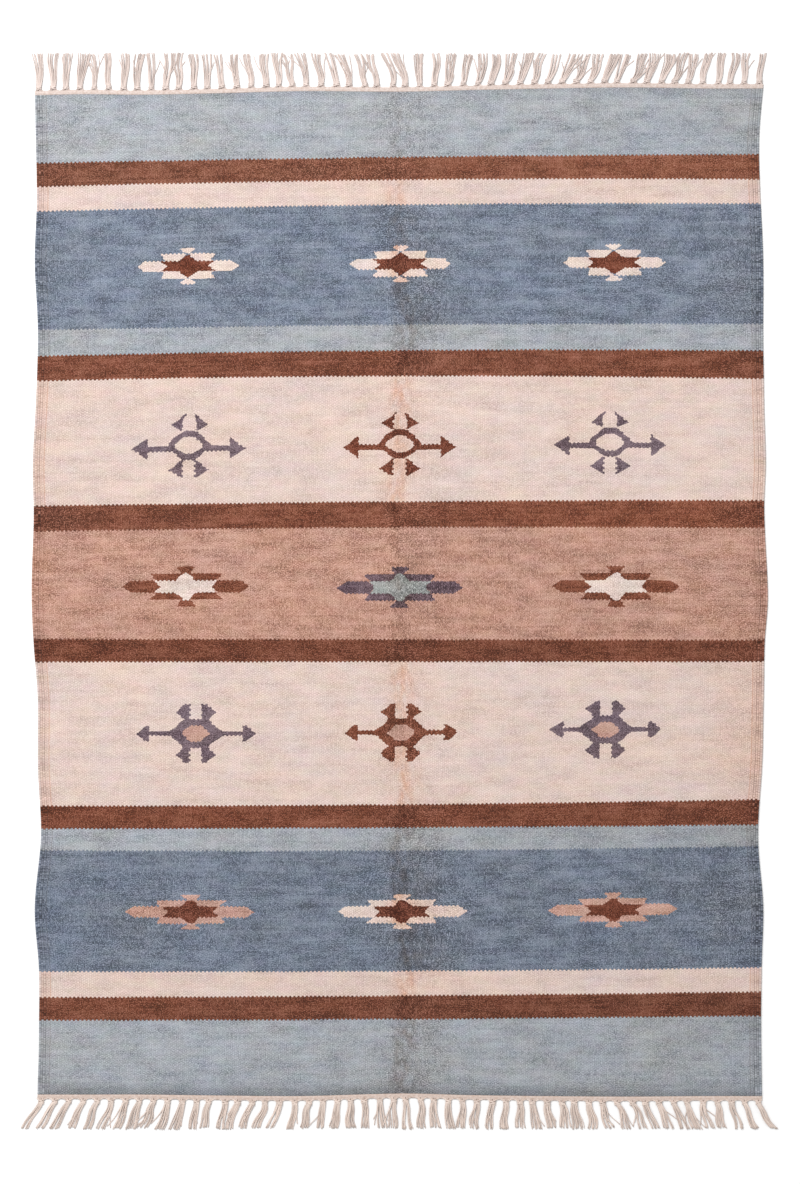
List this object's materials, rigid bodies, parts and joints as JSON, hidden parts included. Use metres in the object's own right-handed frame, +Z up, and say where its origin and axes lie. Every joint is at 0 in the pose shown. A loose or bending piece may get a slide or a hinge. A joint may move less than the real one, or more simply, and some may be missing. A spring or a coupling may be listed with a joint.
{
  "type": "kilim rug",
  "caption": "Flat-woven rug with plain and patterned cross bands, corded side edges, and a heading with knotted tassels at each end.",
  "frame": {"origin": "on the floor, under the middle of the whole rug, fringes included", "axes": "+Z up from the floor, +Y along the rug's length, +X across its width"},
  "size_m": [1.4584, 2.075, 0.0068],
  "materials": {
    "weft_yarn": "matt wool weft, in bands of blue, brown, pink and tan",
    "warp_yarn": "undyed cotton warp, matt, slightly pink"
  },
  "bodies": {
    "root": {"woven_field": "weft_yarn", "heading_fringe_top": "warp_yarn", "heading_fringe_bottom": "warp_yarn"}
  },
  "joints": []
}
